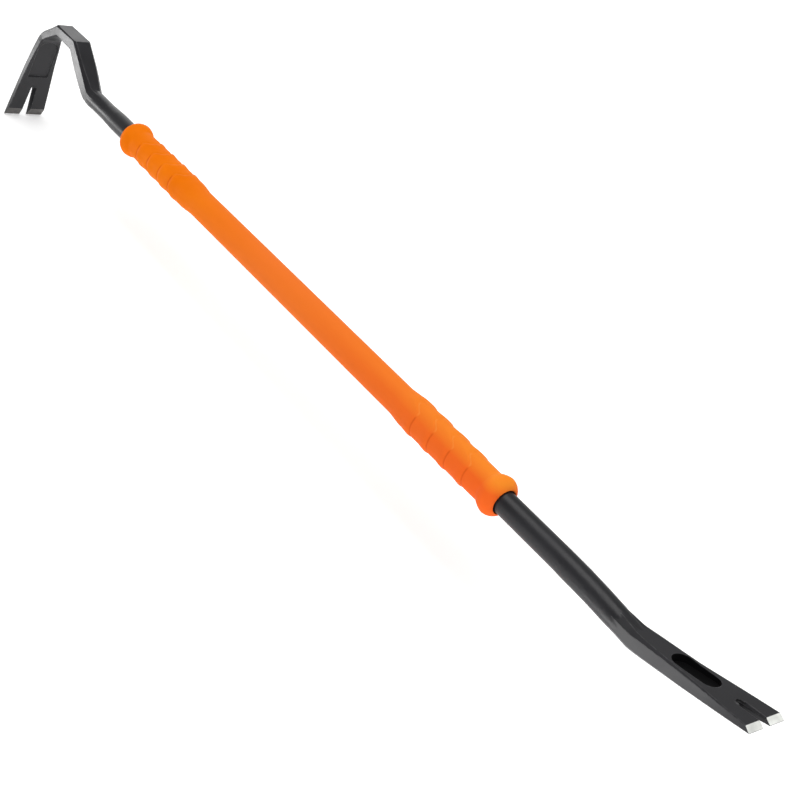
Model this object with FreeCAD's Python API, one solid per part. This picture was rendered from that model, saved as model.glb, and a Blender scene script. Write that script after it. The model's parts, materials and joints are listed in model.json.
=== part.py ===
# Pry bar with a full-length grip.
# +X runs along the shank from the claw to the chisel, +Z is up, +Y completes the hand.
# Everything is drawn about the shank axis first, with x = 0 just outside the grip's claw end,
# and is moved at the end so that the origin is the middle of the bounding box's bottom face.
import FreeCAD, Part
import math
import os

V = FreeCAD.Vector

# --- round shank -------------------------------------------------------------------------
SHANK_D = 19.0
HOOK_NECK_D = 17.4          # the bar is drawn down a little before the hook
NECK_END_X = -38.0          # drawn-down part starts here and widens up to the shank
SHANK_START_X = -20.0
# (x, z, diameter): the shank dips a little before the chisel bend and ends inside the chisel
DIP = [(640.0, 0.0, 19.0), (665.0, -0.5, 19.0), (690.0, -1.7, 18.6), (708.0, -2.6, 17.6),
       (728.0, -1.2, 12.0)]

# --- hook: corner points of its centre line (x, z) and the bend radius at each -------------
# radius 0 is a crisp fold, as at both ends of the flat heel
HOOK_LINE = [(-56.0, 0.0), (-73.0, 0.0), (-116.0, 33.7), (-148.5, 33.7),
             (-172.2, 17.0), (-180.8, -18.0), (-191.8, -79.2)]
HOOK_RADII = [13.0, 0.0, 0.0, 14.0, 200.0]
HEEL_Z = 38.9               # the heel is ground to a true flat at this height
# share of the centre line's length -> (thickness, half width, edge chamfer)
HOOK_SECTION = [(0.00, 16.0, 8.0, 5.0), (0.10, 17.4, 8.9, 4.0), (0.18, 16.4, 9.4, 2.6),
                (0.31, 12.8, 9.4, 2.0), (0.45, 10.8, 9.4, 1.7), (0.52, 8.6, 9.8, 1.3),
                (0.575, 8.4, 10.8, 1.1), (0.62, 8.0, 12.5, 1.0), (0.72, 6.6, 14.9, 0.8),
                (0.79, 6.0, 16.7, 0.7), (0.95, 5.0, 20.1, 0.5), (1.00, 4.6, 20.9, 0.4)]

# --- chisel, described the same way --------------------------------------------------------
CHISEL_LINE = [(690.0, -2.1), (717.0, -2.6), (763.0, 6.0), (824.0, 19.7)]
CHISEL_RADII = [30.0, 120.0]
CHISEL_SECTION = [(0.00, 16.6, 8.2, 5.0), (0.18, 15.6, 9.1, 3.6), (0.27, 13.6, 9.9, 2.2),
                  (0.50, 11.0, 11.2, 1.3), (0.62, 9.6, 12.6, 1.0), (0.75, 7.8, 14.6, 0.8),
                  (0.89, 5.4, 16.9, 0.6), (1.00, 3.6, 18.3, 0.4)]

# --- nail slots, ground bevels and forged recesses -----------------------------------------
CLAW_SLOT = dict(length=33.5, mouth=7.6, root_r=1.3, flare=1.6, flare_depth=4.0, root_run=2.9)
CHISEL_SLOT = dict(length=25.5, mouth=7.0, root_r=2.4, flare=0.4, flare_depth=0.5, root_run=0.0)
CLAW_BEVEL = 10.0
CHISEL_BEVEL = 4.0
EDGE = 0.5                  # thickness left at a ground edge
# the claw's recess is set out from the gentle bend in the blade, the chisel's from its tip
CLAW_RECESS = dict(near=-11.5, far=30.5, width=20.0, depth=1.6, draft=1.0, blunt=True)
CLAW_RECESS_FACE = 3.7      # height of the recessed face above the centre line
CHISEL_RECESS = dict(near=40.0, far=76.0, width=13.5, depth=3.6, draft=1.2, blunt=False)
CHISEL_RECESS_FACE = 5.3

# --- grip ----------------------------------------------------------------------------------
GRIP_START_X = 9.9
GRIP_LENGTH = 565.0
MOUTH_R = 10.4              # lip at each mouth, clear of the shank
BORE_R = 11.0               # bore of the soft sleeve, outside of the core
COLLAR_R = 16.7
COLLAR_PEAK = 8.4           # distance of the collar's peak from the grip's end
COLLAR_FOOT = 19.0
ZONE_R_OUTER = 13.35        # ribbed zone, next to the collar
ZONE_R_INNER = 14.15        # ribbed zone, next to the smooth middle
ZONE_END = 112.0
SMOOTH_R = 12.7
SMOOTH_START = 130.0
CLAW_END_RIBS = (36.4, 20.0)      # crest of the outermost rib, and the ribs' pitch
CHISEL_END_RIBS = (38.5, 21.2)
RIB_COUNT = 4
RIB_HEIGHT = 0.65
RIB_DROP = 4.5              # each rib drops steeply outboard and slowly inboard
RIB_RISE = 9.0
CORE_RECESS = 3.0           # the core stops this far inside the sleeve's mouths
CORE_SWELL_R = 12.0         # the core is thicker under the ribbed zones
CORE_SWELL = (30.0, 108.0)
CORE_RAMP = 4.0


def walk(corners, radii, steps=6):
    """Stations (x, z, heading, stretch) along a line of corners, rounded or folded crisply."""
    stations = [(*corners[0], heading_of(corners[0], corners[1]), 1.0)]
    for a, b, c, radius in zip(corners, corners[1:], corners[2:], radii):
        h0, h1 = heading_of(a, b), heading_of(b, c)
        turn = (h1 - h0 + math.pi) % (2 * math.pi) - math.pi
        if radius == 0:
            stations.append((*b, h0 + turn / 2, 1 / math.cos(turn / 2)))
            continue
        cut = radius * math.tan(abs(turn) / 2)
        side = math.copysign(radius, turn)
        centre = (b[0] - cut * math.cos(h0) - side * math.sin(h0),
                  b[1] - cut * math.sin(h0) + side * math.cos(h0))
        for k in range(steps + 1):
            h = h0 + turn * k / steps
            stations.append((centre[0] + side * math.sin(h), centre[1] - side * math.cos(h), h, 1.0))
    stations.append((*corners[-1], heading_of(corners[-2], corners[-1]), 1.0))
    return stations


def heading_of(a, b):
    return math.atan2(b[1] - a[1], b[0] - a[0])


def with_between(stations, gap):
    """Extra stations so that no straight stretch is longer than the gap."""
    filled = [stations[0]]
    for s in stations[1:]:
        p = filled[-1]
        n = max(1, math.ceil(math.hypot(s[0] - p[0], s[1] - p[1]) / gap))
        for k in range(1, n):
            f = k / n
            filled.append((p[0] + f * (s[0] - p[0]), p[1] + f * (s[1] - p[1]), heading_of(p, s), 1.0))
        filled.append(s)
    return filled


def blend(table, share):
    """Linear reading of a table whose first column is the share of the length."""
    for low, high in zip(table, table[1:]):
        if share <= high[0]:
            f = (share - low[0]) / (high[0] - low[0])
            return [u + f * (v - u) for u, v in zip(low[1:], high[1:])]
    return list(table[-1][1:])


def section(x, z, heading, stretch, thickness, half_width, chamfer):
    """Rectangle with chamfered corners, square to the centre line or on a fold's mitre."""
    up = (-math.sin(heading) * stretch, math.cos(heading) * stretch)
    t = thickness / 2
    c = min(chamfer, t * 0.8)
    ring = [(-half_width + c, t), (half_width - c, t), (half_width, t - c),
            (half_width, c - t), (half_width - c, -t), (-half_width + c, -t),
            (-half_width, c - t), (-half_width, t - c)]
    points = [V(x + up[0] * n, y, z + up[1] * n) for y, n in ring]
    return Part.makePolygon(points + points[:1])


def forged_end(corners, radii, table, gap):
    stations = with_between(walk(corners, radii), gap)
    lengths = [0.0]
    for p, q in zip(stations, stations[1:]):
        lengths.append(lengths[-1] + math.hypot(q[0] - p[0], q[1] - p[1]))
    wires = [section(*s, *blend(table, d / lengths[-1])) for s, d in zip(stations, lengths)]
    return Part.makeLoft(wires, True, True)


def placed(tool, corners, face_height):
    """Move a tool from the tip's own axes (a outwards, b across, n out of the face)."""
    (x0, z0), (x1, z1) = corners[-2], corners[-1]
    size = math.hypot(x1 - x0, z1 - z0)
    a = V((x1 - x0) / size, 0, (z1 - z0) / size)
    n = V(-a.z, 0, a.x)
    b = n.cross(a)
    tip = V(x1, 0, z1) + n * face_height
    tool = tool.copy()
    tool.transformShape(FreeCAD.Matrix(a.x, b.x, n.x, tip.x, a.y, b.y, n.y, tip.y,
                                       a.z, b.z, n.z, tip.z, 0, 0, 0, 1))
    return tool


def slot_outline(length, mouth, root_r, extra, n):
    """U outline opening past the tip, in the plane at height n."""
    r = root_r + extra
    out = 6.0
    half = mouth / 2 + extra
    grow = (half - r) / (length - root_r)
    mouth_half = half + grow * out
    root = root_r - length
    p = [V(out, -mouth_half, n), V(root, -r, n), V(root - r, 0, n), V(root, r, n),
         V(out, mouth_half, n)]
    edges = [Part.makeLine(p[0], p[1]), Part.Arc(p[1], p[2], p[3]).toShape(),
             Part.makeLine(p[3], p[4]), Part.makeLine(p[4], p[0])]
    return Part.Wire(edges)


def nail_slot(length, mouth, root_r, flare, flare_depth, root_run):
    """Straight slot that flares towards the face; its root runs out further there too."""
    through = Part.Face(slot_outline(length, mouth, root_r, 0.0, -15.0)).extrude(V(0, 0, 18))
    over = 1.0 + 1.0 / flare
    top = slot_outline(length + root_run * over, mouth, root_r, flare + 1.0, flare_depth / flare)
    bottom = slot_outline(length, mouth, root_r, 0.0, -flare_depth)
    return through.fuse(Part.makeLoft([bottom, top], True, True))


def recess_outline(near, far, half, blunt, n):
    """Outline from the far end to the near one, which is square if blunt and else round."""
    p = [V(-near, -half, n), V(-near, half, n), V(half - far, half, n), V(-far, 0, n),
         V(half - far, -half, n)]
    if blunt:
        tip_end = [Part.makeLine(p[0], p[1])]
    else:
        p[0].x -= half
        p[1].x -= half
        tip_end = [Part.Arc(p[0], V(-near, 0, n), p[1]).toShape()]
    edges = tip_end + [Part.makeLine(p[1], p[2]), Part.Arc(p[2], p[3], p[4]).toShape(),
                       Part.makeLine(p[4], p[0])]
    return Part.Wire(edges)


def recess(near, far, width, depth, draft, blunt):
    over = 2.0
    grow = draft * (depth + over) / depth
    floor = recess_outline(near, far, width / 2, blunt, -depth)
    mouth = recess_outline(near - grow, far + grow, width / 2 + grow, blunt, over)
    return Part.makeLoft([floor, mouth], True, True)


def ground_bevel(length, thickness):
    """Wedge that is ground off the face at the tip."""
    p = [V(-length, -40, 0), V(0.0, -40, EDGE - thickness), V(3.0, -40, EDGE - thickness - 1.0),
         V(3.0, -40, 4.0), V(-length, -40, 4.0)]
    return Part.Face(Part.makePolygon(p + p[:1])).extrude(V(0, 80, 0))


def turned(outline):
    """Round bar about the shank axis, from (x, radius) points."""
    axis = [(outline[-1][0], 0.0), (outline[0][0], 0.0)]
    points = [V(x, 0, r) for x, r in outline + axis]
    edges = [Part.makeLine(p, q) for p, q in zip(points, points[1:] + points[:1])]
    return revolved(edges)


def revolved(edges):
    return Part.Face(Part.Wire(edges)).revolve(V(0, 0, 0), V(1, 0, 0), 360)


def build_bar():
    bar = turned([(HOOK_LINE[1][0] - 2.0, HOOK_NECK_D / 2 - 2.5), (HOOK_LINE[1][0] + 4.0, HOOK_NECK_D / 2),
                  (NECK_END_X, HOOK_NECK_D / 2), (SHANK_START_X, SHANK_D / 2),
                  (DIP[0][0], SHANK_D / 2)])
    rings = [Part.Wire(Part.makeCircle(d / 2, V(x, 0, z), V(1, 0, 0))) for x, z, d in DIP]
    bar = bar.fuse(Part.makeLoft(rings, True, False))
    bar = bar.fuse(forged_end(HOOK_LINE, HOOK_RADII, HOOK_SECTION, 14.0))
    bar = bar.fuse(forged_end(CHISEL_LINE, CHISEL_RADII, CHISEL_SECTION, 12.0))
    # the hook's inner face and the chisel's top face both lie to the left of the centre line
    claw_t, chisel_t = HOOK_SECTION[-1][1], CHISEL_SECTION[-1][1]
    cuts = [(nail_slot(**CLAW_SLOT), HOOK_LINE, claw_t / 2),
            (ground_bevel(CLAW_BEVEL, claw_t + 0.2), HOOK_LINE, claw_t / 2 + 0.1),
            (recess(**CLAW_RECESS), HOOK_LINE[:-1], CLAW_RECESS_FACE),
            (nail_slot(**CHISEL_SLOT), CHISEL_LINE, chisel_t / 2),
            (ground_bevel(CHISEL_BEVEL, chisel_t + 0.3), CHISEL_LINE, chisel_t / 2 + 0.15),
            (recess(**CHISEL_RECESS), CHISEL_LINE, CHISEL_RECESS_FACE)]
    for tool, line, face_height in cuts:
        bar = bar.cut(placed(tool, line, face_height))
    return bar.cut(Part.makeBox(80, 40, 20, V(-170, -20, HEEL_Z)))


def core_outline(inner_r, start, end):
    """Half section of the core, also used as the hollow of the sleeve."""
    s0, s1 = CORE_SWELL
    outer = [(start, BORE_R), (s0, BORE_R), (s0 + CORE_RAMP, CORE_SWELL_R),
             (s1 - CORE_RAMP, CORE_SWELL_R), (s1, BORE_R)]
    outer += [(GRIP_LENGTH - x, r) for x, r in reversed(outer[1:])] + [(end, BORE_R)]
    return [(start, inner_r)] + outer + [(end, inner_r)]


def polygon_edges(outline):
    points = [V(GRIP_START_X + x, 0, r) for x, r in outline]
    return [Part.makeLine(p, q) for p, q in zip(points, points[1:] + points[:1])]


def build_core():
    outline = core_outline(SHANK_D / 2, CORE_RECESS, GRIP_LENGTH - CORE_RECESS)
    tube = revolved(polygon_edges(outline))
    left = Part.makeBox(GRIP_LENGTH + 40, 40, 80, V(-20, -40, -40))
    right = Part.makeBox(GRIP_LENGTH + 40, 40, 80, V(-20, 0, -40))
    return tube.common(left), tube.common(right)


def zone_radius(x):
    share = (x - COLLAR_FOOT) / (ZONE_END - COLLAR_FOOT)
    return ZONE_R_OUTER + share * (ZONE_R_INNER - ZONE_R_OUTER)


def end_profile(first_crest, pitch):
    """Outer outline of one grip end from its mouth inwards, as (start, via, end) steps."""
    mouth = (0.0, MOUTH_R)
    peak = (COLLAR_PEAK, COLLAR_R)
    foot = (COLLAR_FOOT, ZONE_R_OUTER)
    steps = [(mouth, (2.6, 14.6), peak), (peak, (14.4, 15.0), foot)]
    here = foot
    for i in range(RIB_COUNT):
        x = first_crest + i * pitch
        foot = (x - RIB_DROP, zone_radius(x - RIB_DROP))
        crest = (x, zone_radius(x) + RIB_HEIGHT)
        fade = (x + RIB_RISE, zone_radius(x + RIB_RISE))
        steps += [(here, None, foot), (foot, None, crest), (crest, None, fade)]
        here = fade
    shoulder = (ZONE_END, ZONE_R_INNER)
    steps.append((here, None, shoulder))
    steps.append((shoulder, (122.4, 13.6), (SMOOTH_START, SMOOTH_R)))
    return steps


def build_sleeve():
    first = end_profile(*CLAW_END_RIBS)
    last = end_profile(*CHISEL_END_RIBS)
    flip = [tuple(p and (GRIP_LENGTH - p[0], p[1]) for p in reversed(s)) for s in reversed(last)]
    steps = first + [(first[-1][2], None, flip[0][0])] + flip
    edges = []
    for start, via, end in steps:
        a, b = (V(GRIP_START_X + p[0], 0, p[1]) for p in (start, end))
        if via:
            edges.append(Part.Arc(a, V(GRIP_START_X + via[0], 0, via[1]), b).toShape())
        else:
            edges.append(Part.makeLine(a, b))
    axis = [V(GRIP_START_X + GRIP_LENGTH, 0, 0), V(GRIP_START_X, 0, 0)]
    edges.append(Part.makeLine(V(GRIP_START_X + GRIP_LENGTH, 0, MOUTH_R), axis[0]))
    edges.append(Part.makeLine(axis[0], axis[1]))
    edges.append(Part.makeLine(axis[1], V(GRIP_START_X, 0, MOUTH_R)))
    body = revolved(edges)
    hollow = revolved(polygon_edges(core_outline(0.0, CORE_RECESS, GRIP_LENGTH - CORE_RECESS)))
    lips = revolved(polygon_edges([(-1.0, 0.0), (-1.0, MOUTH_R), (GRIP_LENGTH + 1.0, MOUTH_R),
                                   (GRIP_LENGTH + 1.0, 0.0)]))
    return body.cut(hollow).cut(lips)


def main():
    os.makedirs("parts", exist_ok=True)
    bar = build_bar()
    left, right = build_core()
    nodes = {"steel_bar": bar, "core_shell_left": left, "core_shell_right": right,
             "grip_sleeve": build_sleeve()}
    xs = [v.X for v in bar.Vertexes]
    lowest = min(v.Z for v in bar.Vertexes)
    shift = V(-(min(xs) + max(xs)) / 2, 0, -lowest)
    for name, shape in nodes.items():
        shape.translate(shift)
        shape.exportStep("parts/%s.step" % name)


main()
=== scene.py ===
"""Pry bar in a plain pale studio: coated steel bar, ground teeth and a moulded soft grip."""
import json
import math

import bpy
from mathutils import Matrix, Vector


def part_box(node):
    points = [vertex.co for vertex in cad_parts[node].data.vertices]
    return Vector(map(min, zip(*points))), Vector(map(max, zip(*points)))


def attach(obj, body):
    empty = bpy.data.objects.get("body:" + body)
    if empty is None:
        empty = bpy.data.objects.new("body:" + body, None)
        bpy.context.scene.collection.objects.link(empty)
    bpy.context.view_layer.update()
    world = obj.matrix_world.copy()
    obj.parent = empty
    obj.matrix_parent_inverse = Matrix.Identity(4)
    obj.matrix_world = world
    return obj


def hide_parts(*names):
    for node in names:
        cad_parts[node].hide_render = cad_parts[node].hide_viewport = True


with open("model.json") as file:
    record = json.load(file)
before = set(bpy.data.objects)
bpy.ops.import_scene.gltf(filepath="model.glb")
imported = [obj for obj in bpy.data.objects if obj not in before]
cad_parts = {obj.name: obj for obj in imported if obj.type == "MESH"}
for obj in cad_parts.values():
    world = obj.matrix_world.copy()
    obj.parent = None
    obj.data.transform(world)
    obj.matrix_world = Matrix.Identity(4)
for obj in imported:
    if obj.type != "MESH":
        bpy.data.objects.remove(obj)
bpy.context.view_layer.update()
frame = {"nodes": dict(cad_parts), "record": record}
MM = 0.001

# --- grip: (distance from the nearer end, radius) in mm, as in the CAD sleeve -----------------
MOUTH_R = 10.4
LIP = 0.45                          # rounding of the mouth's edge
COLLAR_RISE = (2.6, 14.3)           # on the way up from the mouth
COLLAR_PEAK = (8.4, 16.7)
COLLAR_FALL = (12.6, 15.75)         # on the way down
COLLAR_WAIST = (16.6, 13.85)
COLLAR_FILLET = (18.0, 13.52)
COLLAR_FOOT = (20.0, 13.38)
ZONE_END = (112.0, 14.15)
SMOOTH_START = (130.3, 12.7)
CORE_RECESS = 3.0
BORE_R = 11.0
SWELL_R = 12.0
SWELL = (30.0, 108.0)
SWELL_RAMP = 4.0
AROUND = 144                        # points round each ring

# --- ribs and their painted shade and highlights, in mm and degrees of elevation --------------
CLAW_END_RIBS = (31.9, 20.0)        # crease at the foot of the outermost rib, and the pitch
CHISEL_END_RIBS = (34.0, 21.2)
RIB_COUNT = 4
RIB_HEIGHT = 0.7
RIB_FALL = 9.0                      # length of the slow slope behind each crest
STEP_WIDTH = 4.5                    # from the crease up to the crest
CREASE_DEPTH = 0.25
CREASE_WIDTH = 0.9
CREASE_PLACE = 0.4                  # middle of the painted crease shade, just up the step
SWEEP = 8.0                         # how far each rib sweeps inboard over the grip's top
SWEEP_ANGLES = (44.0, 74.0)         # elevations between which it sweeps
HIGHLIGHT_ANGLES = (24.0, 48.0)           # the painted highlight on each step fades in between these
HIGHLIGHT_END_ANGLES = (72.0, 84.0)       # and out between these
HIGHLIGHT_PLACE = 0.6                     # from the crease
CLAW_END_HIGHLIGHT = 0.3                  # the painted highlights are fainter at the claw end
SHADE_WIDTH = 1.3                   # half width of the painted crease shade and of the painted highlight

# --- grip's colour: places along the bar between which it changes, in metres ------------------
MID_TONE_X = (-0.20, -0.06)
# the chisel half's redder tone, partly painted shade, and its painted top light come in here
CHISEL_TONE_X = (0.0, 0.24)

# --- bare bevels at the blades' tips ----------------------------------------------------------
CLAW_BEVEL_REACH = 12.0 * MM        # back from the tip
CHISEL_BEVEL_REACH = 6.5 * MM
BEVEL_LEAN = 0.25                   # least part of a bevel's normal that points to the tip
BEVEL_FACING = 0.4                  # least part that points out of the blade's face

# --- the chisel's recess, where its shade is painted, from its nail slot's mount --------------
RECESS_REACH = (25.0 * MM, 68.0 * MM)   # back along the blade
RECESS_HALF = 7.9 * MM
RECESS_FLOOR = 2.0 * MM             # its floor at the most, below the mount
RECESS_RIM = 4.4 * MM               # its rim at the most, above the mount
WALL_FACING = 0.9                   # above the mount, faces steeper than this are its walls

# --- edges of the steel -----------------------------------------------------------------------
EDGE_ROUND = 0.45 * MM
EDGE_ANGLE = math.radians(18)
FLAT_ANGLE = math.radians(0.5)

# --- studio, in metres, watts and degrees -----------------------------------------------------
FLOOR_SIZE = 400.0
FLOOR_DROP = 0.0003                 # just clear of the claw's tips
FLOOR_GLOW = (0.33, 0.80)           # near the object, and far away
GLOW_DISTANCE = (0.5, 2.2)
SKY = 0.42
SENSOR_WIDTH = 36
LENS = 67.5
CAMERA_PLACE = (0.80636, -0.75235, 0.62428)
CAMERA_TURN = (59.9106, -18.788, 52.5285)
# name, place, target, size and power; the two glows lie at the floor and face up
LAMPS = (
    ("overhead", (0.0, -0.3, 1.9), (0, 0, 0), (2.2, 1.4), 25),
    ("hook_glow", (-0.655, -0.175, 0.003), (-0.655, -0.175, 1.0), (0.25, 0.12), 1.15),
    ("chisel_glow", (0.357, -0.11, 0.003), (0.357, -0.11, 1.0), (0.085, 0.10), 0.11),
    ("left", (-1.42, 0.58, 0.5), (-0.45, 0, 0.1), (0.9, 0.6), 2.4),
    ("right_back", (0.81, 0.98, 0.89), (0.5, 0, 0.1), (0.8, 0.8), 2.6),
)


def smooth(t):
    t = min(1.0, max(0.0, t))
    return t * t * (3 - 2 * t)


def ramp(value, ends):
    """Smooth rise from 0 at the first end to 1 at the second."""
    return smooth((value - ends[0]) / (ends[1] - ends[0]))


def arc(a, via, b, count):
    """Points from a to b, both included, on the circle through all three."""
    (ax, ay), (bx, by), (cx, cy) = a, via, b
    d = 2 * (ax * (by - cy) + bx * (cy - ay) + cx * (ay - by))
    sa, sb, sc = ax * ax + ay * ay, bx * bx + by * by, cx * cx + cy * cy
    ox = (sa * (by - cy) + sb * (cy - ay) + sc * (ay - by)) / d
    oy = (sa * (cx - bx) + sb * (ax - cx) + sc * (bx - ax)) / d
    start, end = math.atan2(ay - oy, ax - ox), math.atan2(cy - oy, cx - ox)
    turn = (end - start + math.pi) % (2 * math.pi) - math.pi
    radius = math.hypot(ax - ox, ay - oy)
    angles = [start + turn * k / count for k in range(count + 1)]
    return [(ox + radius * math.cos(t), oy + radius * math.sin(t)) for t in angles]


def run(a, b, step):
    """Points along a straight run, without its first one."""
    n = max(1, math.ceil(abs(b[0] - a[0]) / step))
    return [(a[0] + (b[0] - a[0]) * k / n, a[1] + (b[1] - a[1]) * k / n) for k in range(1, n + 1)]


def end_outline():
    """Outside of one end of the grip, from inside its mouth to the smooth middle."""
    points = [(CORE_RECESS, MOUTH_R)] + run((CORE_RECESS, MOUTH_R), (LIP, MOUTH_R), 1.0)
    rim = (0.0, MOUTH_R + LIP)
    points += arc((LIP, MOUTH_R), (LIP * 0.3, MOUTH_R + LIP * 0.3), rim, 4)[1:]
    points += arc(rim, COLLAR_RISE, COLLAR_PEAK, 18)[1:]
    points += arc(COLLAR_PEAK, COLLAR_FALL, COLLAR_WAIST, 14)[1:]
    points += arc(COLLAR_WAIST, COLLAR_FILLET, COLLAR_FOOT, 6)[1:]
    points += run(COLLAR_FOOT, ZONE_END, 0.4)
    drop = ZONE_END[1] - SMOOTH_START[1]
    for x, _ in run((ZONE_END[0], 0), (SMOOTH_START[0], 0), 1.0):
        points.append((x, ZONE_END[1] - drop * ramp(x, (ZONE_END[0], SMOOTH_START[0]))))
    return points


def from_creases(ribs, s, elevation):
    """Distance inboard from each rib's crease, at a distance from the end and an elevation."""
    first, pitch = ribs
    swept = SWEEP * ramp(elevation, SWEEP_ANGLES)
    return [s - (first + k * pitch + swept) for k in range(RIB_COUNT)]


def rib_height(ribs, s, elevation):
    """Height of the ribs above the zone's plain cone at a distance from the end."""
    height = 0.0
    for u in from_creases(ribs, s, elevation):
        if -CREASE_WIDTH < u <= 0:
            height -= CREASE_DEPTH * (1 + u / CREASE_WIDTH)
        elif 0 < u < STEP_WIDTH:
            height += (RIB_HEIGHT + CREASE_DEPTH) * smooth(u / STEP_WIDTH) - CREASE_DEPTH
        elif u >= STEP_WIDTH:
            height += RIB_HEIGHT * (1 - smooth((u - STEP_WIDTH) / RIB_FALL))
    return height


def rib_painted_shading(ribs, s, elevation):
    """Painted shading: -1 for painted shade in the creases low on the grip, up to +1 for a
    painted highlight higher on each step, 0 elsewhere.
    """
    fade_in = ramp(elevation, HIGHLIGHT_ANGLES)
    painted_highlight = fade_in * (1 - ramp(elevation, HIGHLIGHT_END_ANGLES))
    if ribs is CLAW_END_RIBS:
        painted_highlight *= CLAW_END_HIGHLIGHT
    painted_rib_shading = 0.0
    for u in from_creases(ribs, s, elevation):
        painted_rib_shading -= (1 - fade_in) * smooth(1 - abs(u - CREASE_PLACE) / SHADE_WIDTH)
        painted_rib_shading += painted_highlight * smooth(1 - abs(u - HIGHLIGHT_PLACE) / SHADE_WIDTH)
    return painted_rib_shading


def shade_smooth(mesh):
    for p in mesh.polygons:
        p.use_smooth = True


def grip_mesh(start, length, axis_z):
    """Closed sleeve: the outside from mouth to mouth, then the bore back again."""
    outside = end_outline()
    middle = run((SMOOTH_START[0], 0), (length - SMOOTH_START[0], 0), 5.0)
    outside += [(x, SMOOTH_START[1]) for x, _ in middle]
    outside += [(length - x, r) for x, r in reversed(end_outline()[:-1])]
    bore = [(CORE_RECESS, BORE_R), (SWELL[0], BORE_R), (SWELL[0] + SWELL_RAMP, SWELL_R),
            (SWELL[1] - SWELL_RAMP, SWELL_R), (SWELL[1], BORE_R)]
    rings = outside + [(length - x, r) for x, r in bore] + list(reversed(bore))
    verts, painted_rib_shading = [], []
    for x, r in rings:
        s = min(x, length - x)
        ribs = CLAW_END_RIBS if x < length / 2 else CHISEL_END_RIBS
        ribbed = COLLAR_FOOT[0] < s < SMOOTH_START[0] and r > SWELL_R
        for k in range(AROUND):
            t = 2 * math.pi * k / AROUND
            y, z = math.cos(t), math.sin(t)
            elevation = math.degrees(math.atan2(z, abs(y)))
            lift = rib_height(ribs, s, elevation) if ribbed else 0.0
            # painted shade and painted highlight of the ribs, kept on each point
            painted_rib_shading.append(rib_painted_shading(ribs, s, elevation) if ribbed else 0.0)
            verts.append((start + x * MM, y * (r + lift) * MM, axis_z + z * (r + lift) * MM))
    faces = []
    for i in range(len(rings)):
        a, b = i * AROUND, (i + 1) % len(rings) * AROUND
        for k in range(AROUND):
            m = (k + 1) % AROUND
            faces.append((a + k, b + k, b + m, a + m))
    mesh = bpy.data.meshes.new("grip")
    mesh.from_pydata(verts, [], faces)
    mesh.attributes.new("painted_rib_shading", "FLOAT", "POINT").data.foreach_set("value", painted_rib_shading)
    shade_smooth(mesh)
    return mesh


# --- materials -------------------------------------------------------------------------------
class Look:
    """A Principled material with short calls for the nodes that detail it."""

    def __init__(self, name, colour, rough, metal=0.0):
        self.material = bpy.data.materials.new(name)
        self.material.use_nodes = True
        self.nodes = self.material.node_tree.nodes
        self.links = self.material.node_tree.links
        self.shader = self.nodes["Principled BSDF"]
        self.shader.inputs["Base Color"].default_value = (*colour, 1)
        self.shader.inputs["Roughness"].default_value = rough
        self.shader.inputs["Metallic"].default_value = metal

    def add(self, kind, **values):
        node = self.nodes.new(kind)
        for key, value in values.items():
            node.inputs[key].default_value = value
        return node

    def place(self, stretch=(1, 1, 1)):
        """Object coordinates, stretched."""
        coord = self.nodes.new("ShaderNodeTexCoord")
        mapping = self.add("ShaderNodeMapping", Scale=stretch)
        self.links.new(coord.outputs["Object"], mapping.inputs["Vector"])
        return mapping.outputs["Vector"]

    def axis(self, name):
        split = self.nodes.new("ShaderNodeSeparateXYZ")
        self.links.new(self.place(), split.inputs["Vector"])
        return split.outputs[name]

    def noise(self, scale, detail=4.0, stretch=(1, 1, 1)):
        node = self.add("ShaderNodeTexNoise", Scale=scale, Detail=detail)
        self.links.new(self.place(stretch), node.inputs["Vector"])
        return node.outputs["Fac"]

    def spread(self, value, low, high, start=0.3, end=0.7):
        node = self.nodes.new("ShaderNodeMapRange")
        limits = {"From Min": start, "From Max": end, "To Min": low, "To Max": high}
        for key, number in limits.items():
            node.inputs[key].default_value = number
        self.links.new(value, node.inputs["Value"])
        return node.outputs["Result"]

    def mix(self, factor, first, second):
        """Colour mix; each side is a colour or another output."""
        node = self.nodes.new("ShaderNodeMix")
        node.data_type = "RGBA"
        self.links.new(factor, node.inputs["Factor"])
        for socket, side in ((node.inputs[6], first), (node.inputs[7], second)):
            if isinstance(side, tuple):
                socket.default_value = (*side, 1)
            else:
                self.links.new(side, socket)
        return node.outputs[2]

    def times(self, first, second):
        node = self.nodes.new("ShaderNodeMath")
        node.operation = "MULTIPLY"
        self.links.new(first, node.inputs[0])
        self.links.new(second, node.inputs[1])
        return node.outputs[0]

    def bump(self, height, distance, strength, normal=None):
        node = self.add("ShaderNodeBump", Distance=distance, Strength=strength)
        self.links.new(height, node.inputs["Height"])
        if normal:
            self.links.new(normal, node.inputs["Normal"])
        return node.outputs["Normal"]

    def feed(self, output, socket):
        self.links.new(output, self.shader.inputs[socket])


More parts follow.
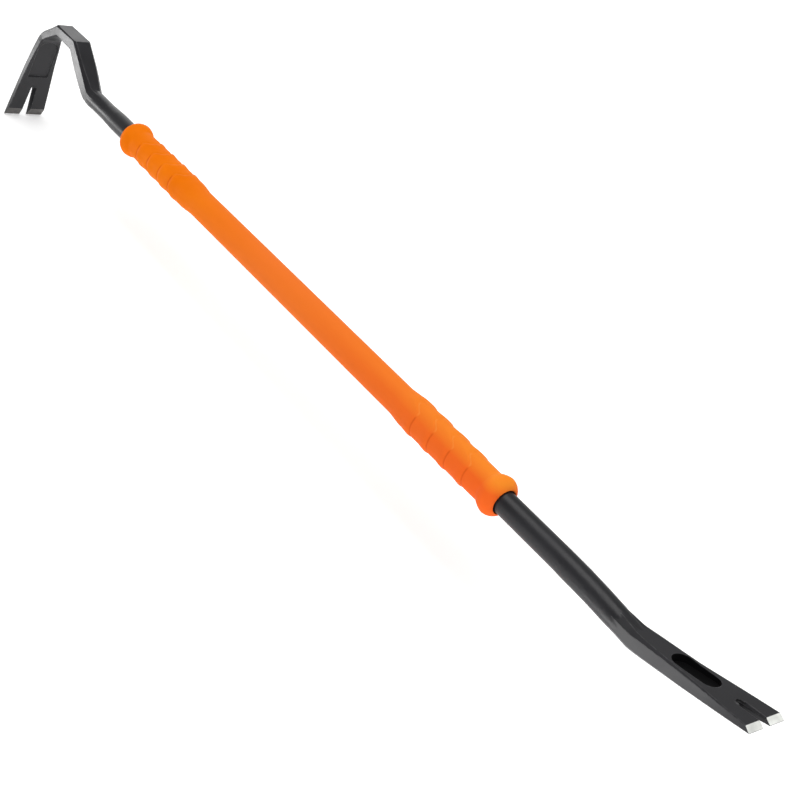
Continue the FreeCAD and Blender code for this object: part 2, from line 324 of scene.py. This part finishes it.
def coated_steel():
    """Satin black coat over forged steel, rubbed a little thin along the edges."""
    look = Look("coated_steel", (0.011, 0.011, 0.0125), 0.4)
    look.shader.inputs["Specular IOR Level"].default_value = 0.36
    bevel = look.add("ShaderNodeBevel", Radius=0.7 * MM)
    bevel.samples = 6
    flat = look.nodes.new("ShaderNodeNewGeometry")
    dot = look.nodes.new("ShaderNodeVectorMath")
    dot.operation = "DOT_PRODUCT"
    look.links.new(bevel.outputs["Normal"], dot.inputs[0])
    look.links.new(flat.outputs["Normal"], dot.inputs[1])
    edge = look.spread(dot.outputs["Value"], 1.0, 0.0, 0.93, 0.995)
    edge_wear_and_rib_highlight = look.times(edge, look.spread(look.noise(260, 6), 0.0, 1.0, 0.4, 0.62))
    cloud = look.noise(38)
    coat = look.mix(look.spread(cloud, 0, 1), (0.009, 0.0088, 0.0106), (0.014, 0.0137, 0.0165))
    look.feed(look.mix(edge_wear_and_rib_highlight, coat, (0.11, 0.11, 0.115)), "Base Color")
    look.feed(look.spread(cloud, 0.33, 0.42), "Roughness")
    grain = look.bump(look.noise(2600, 2), 0.05 * MM, 0.35, bevel.outputs["Normal"])
    look.feed(look.bump(look.noise(90, 3), 0.25 * MM, 0.25, grain), "Normal")
    return look.material


def ground_steel(name, dark, light):
    """Ground steel between two tints, with fine scratches across each tooth."""
    look = Look(name, light, 0.3, metal=1.0)
    scratches = look.noise(500, 5, (1, 0.06, 1))
    look.feed(look.spread(scratches, 0.28, 0.44), "Roughness")
    look.feed(look.mix(look.spread(look.noise(120), 0, 1), dark, light), "Base Color")
    look.feed(look.bump(scratches, 0.04 * MM, 0.3), "Normal")
    return look.material


def painted_recess_shade():
    """Dull near-black finish: painted shade in the chisel's recess."""
    look = Look("painted_recess_shade", (0.002, 0.002, 0.0023), 0.75)
    look.shader.inputs["Specular IOR Level"].default_value = 0.05
    look.feed(look.spread(look.noise(150), 0.65, 0.85), "Roughness")
    look.feed(look.bump(look.noise(900, 3), 0.05 * MM, 0.3), "Normal")
    return look.material


def grip_rubber(axis_z):
    """Orange soft moulding with a matt grain; the chisel half is redder, partly its own tone and
    partly painted shade, and its top is paler with painted light from above; the ribs carry
    painted shade in their creases and a painted highlight on each step.
    """
    look = Look("grip_rubber", (0.88, 0.19, 0.006), 0.6)
    look.shader.inputs["Specular IOR Level"].default_value = 0.04
    cloud = look.spread(look.noise(24, 3), 0, 1)
    tone = look.mix(cloud, (0.86, 0.174, 0.001), (0.90, 0.202, 0.003))
    middle = look.spread(look.axis("X"), 0.0, 1.0, *MID_TONE_X)
    tone = look.mix(middle, tone, (0.88, 0.186, 0.022))
    # the chisel half is redder: partly its own tone, partly painted shade on its flank
    chisel_half = look.spread(look.axis("X"), 0.0, 1.0, *CHISEL_TONE_X)
    tone = look.mix(chisel_half, tone, (0.86, 0.130, 0.016))
    # painted light: the chisel half's top is paler, as if lit from above
    top_z = (axis_z + 0.5 * SMOOTH_START[1] * MM, axis_z + ZONE_END[1] * MM)
    painted_top_light = look.spread(look.axis("Z"), 0.0, 1.0, *top_z)
    tone = look.mix(look.times(painted_top_light, chisel_half), tone, (0.94, 0.265, 0.022))
    painted_rib_shading = look.nodes.new("ShaderNodeAttribute")
    painted_rib_shading.attribute_name = "painted_rib_shading"
    # painted shade darkens the creases low on the grip
    painted_crease_shade = look.spread(painted_rib_shading.outputs["Fac"], 0.55, 0.0, -1.0, 0.0)
    tone = look.mix(painted_crease_shade, tone, (0.60, 0.070, 0.002))
    # painted highlight along each step higher on the grip
    edge_wear_and_rib_highlight = look.spread(painted_rib_shading.outputs["Fac"], 0.0, 0.35, 0.0, 1.0)
    tone = look.mix(edge_wear_and_rib_highlight, tone, (0.95, 0.36, 0.07))
    look.feed(tone, "Base Color")
    look.feed(look.spread(look.noise(160, 4), 0.54, 0.66), "Roughness")
    fine = look.bump(look.noise(3200, 2), 0.05 * MM, 0.3)
    look.feed(look.bump(look.noise(600, 3), 0.06 * MM, 0.2, fine), "Normal")
    return look.material


def core_plastic():
    """Black moulded core, only seen as a dark ring inside the mouths."""
    look = Look("core_plastic", (0.010, 0.010, 0.011), 0.6)
    look.feed(look.spread(look.noise(140), 0.52, 0.68), "Roughness")
    look.feed(look.bump(look.noise(1800, 3), 0.05 * MM, 0.4), "Normal")
    return look.material


def floor_material():
    """Pale sweep, backlit a little more away from the object so that it stays evenly white."""
    look = Look("studio_floor", (0.92, 0.92, 0.92), 0.85)
    look.shader.inputs["Emission Color"].default_value = (1, 1, 1, 1)
    distance = look.nodes.new("ShaderNodeVectorMath")
    distance.operation = "LENGTH"
    look.links.new(look.place(), distance.inputs[0])
    glow = look.spread(distance.outputs["Value"], *FLOOR_GLOW, *GLOW_DISTANCE)
    look.feed(glow, "Emission Strength")
    look.feed(look.bump(look.noise(30, 2), 0.2 * MM, 0.05), "Normal")
    return look.material


# --- steel bar -------------------------------------------------------------------------------
def dress(piece, *materials):
    piece.data.materials.clear()
    for material in materials:
        piece.data.materials.append(material)


def blade_axes(mount, outward):
    """A blade's face normal at its nail slot, and its direction towards the tip."""
    face = Vector(mount["axis"])
    along = Vector((abs(face.z), 0, 0)) * outward
    along.z = -face.x * along.x / face.z
    return face, along.normalized()


def bare_bevel(mesh, mount, outward, reach, slot):
    """Bare metal on the faces near a blade's tip that lean towards it."""
    face, along = blade_axes(mount, outward)
    tip = max(v.co.dot(along) for v in mesh.vertices)
    for p in mesh.polygons:
        near = tip - p.center.dot(along) < reach
        if near and p.normal.dot(along) > BEVEL_LEAN and p.normal.dot(face) > BEVEL_FACING:
            p.material_index = slot


def paint_recess_shade(mesh, mount, slot):
    """Painted shade on the floor and the walls of the chisel's recess."""
    face, along = blade_axes(mount, 1)
    origin = Vector(mount["pos_m"])
    for p in mesh.polygons:
        height = (p.center - origin).dot(face)
        behind = (origin - p.center).dot(along)
        within = RECESS_REACH[0] < behind < RECESS_REACH[1] and abs(p.center.y) < RECESS_HALF
        bottom = -RECESS_FLOOR < height < 0
        wall = 0 <= height < RECESS_RIM and p.normal.dot(face) < WALL_FACING
        if within and (bottom or wall):
            p.material_index = slot


def soften_edges(bar):
    """Rounds the edges; the flats are merged first, so that only real edges are rounded."""
    flats = bar.modifiers.new("merge_flats", "DECIMATE")
    flats.decimate_type = "DISSOLVE"
    flats.angle_limit = FLAT_ANGLE
    flats.delimit = {"MATERIAL"}
    edges = bar.modifiers.new("soft_edges", "BEVEL")
    edges.width = EDGE_ROUND
    edges.segments = 3
    edges.limit_method = "ANGLE"
    edges.angle_limit = EDGE_ANGLE
    edges.harden_normals = True


def dress_bar(bar):
    """Black coat all over, bare metal on the ground bevels of both ends, painted shade in the
    chisel's recess, and soft edges.
    """
    # the claw's bevels are darker than the chisel's: partly a darker grind, partly painted shade
    # for the shaded floor they reflect
    claw_steel = ground_steel("claw_steel", (0.09, 0.086, 0.082), (0.17, 0.165, 0.158))
    chisel_steel = ground_steel("chisel_steel", (0.48, 0.49, 0.465), (0.65, 0.66, 0.63))
    dress(bar, coated_steel(), claw_steel, chisel_steel, painted_recess_shade())
    shade_smooth(bar.data)
    mounts = {m["name"]: m for m in frame["record"]["mounts"]}
    claw, chisel = mounts["claw_nail_slot"], mounts["chisel_nail_slot"]
    bare_bevel(bar.data, claw, -1, CLAW_BEVEL_REACH, 1)
    bare_bevel(bar.data, chisel, 1, CHISEL_BEVEL_REACH, 2)
    # painted shade: the recess's floor and walls get the near-black finish
    paint_recess_shade(bar.data, chisel, 3)
    soften_edges(bar)


# --- build -----------------------------------------------------------------------------------
nodes = frame["nodes"]
dress_bar(nodes["steel_bar"])
core = core_plastic()
for name in ("core_shell_left", "core_shell_right"):
    dress(nodes[name], core)

sleeve_low, sleeve_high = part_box("grip_sleeve")
axis_z = (sleeve_low[2] + sleeve_high[2]) / 2
sleeve_length = (sleeve_high[0] - sleeve_low[0]) / MM
grip = bpy.data.objects.new("moulded_grip", grip_mesh(sleeve_low[0], sleeve_length, axis_z))
bpy.context.scene.collection.objects.link(grip)
dress(grip, grip_rubber(axis_z))
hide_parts("grip_sleeve")
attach(grip, "root")

# --- studio ----------------------------------------------------------------------------------
def softbox(name, place, target, size, watts):
    """Rectangular soft light that the camera doesn't see directly."""
    data = bpy.data.lights.new(name, "AREA")
    data.shape = "RECTANGLE"
    data.size, data.size_y = size
    data.energy = watts
    lamp = bpy.data.objects.new(name, data)
    lamp.location = place
    lamp.rotation_euler = (Vector(target) - Vector(place)).to_track_quat("-Z", "Y").to_euler()
    lamp.visible_camera = False
    bpy.context.scene.collection.objects.link(lamp)


bpy.ops.mesh.primitive_plane_add(size=FLOOR_SIZE, location=(0, 0, -FLOOR_DROP))
floor = bpy.context.object
floor.name = "floor"
dress(floor, floor_material())

for lamp_values in LAMPS:
    softbox(*lamp_values)

world = bpy.data.worlds.new("studio")
bpy.context.scene.world = world
world.use_nodes = True
background = world.node_tree.nodes["Background"]
background.inputs["Color"].default_value = (1, 1, 1, 1)
background.inputs["Strength"].default_value = SKY

camera_data = bpy.data.cameras.new("camera")
camera_data.sensor_width = SENSOR_WIDTH
camera_data.lens = LENS
camera = bpy.data.objects.new("camera", camera_data)
bpy.context.scene.collection.objects.link(camera)
camera.location = CAMERA_PLACE
camera.rotation_euler = [math.radians(a) for a in CAMERA_TURN]
bpy.context.scene.camera = camera
bpy.context.scene.view_settings.view_transform = "Standard"
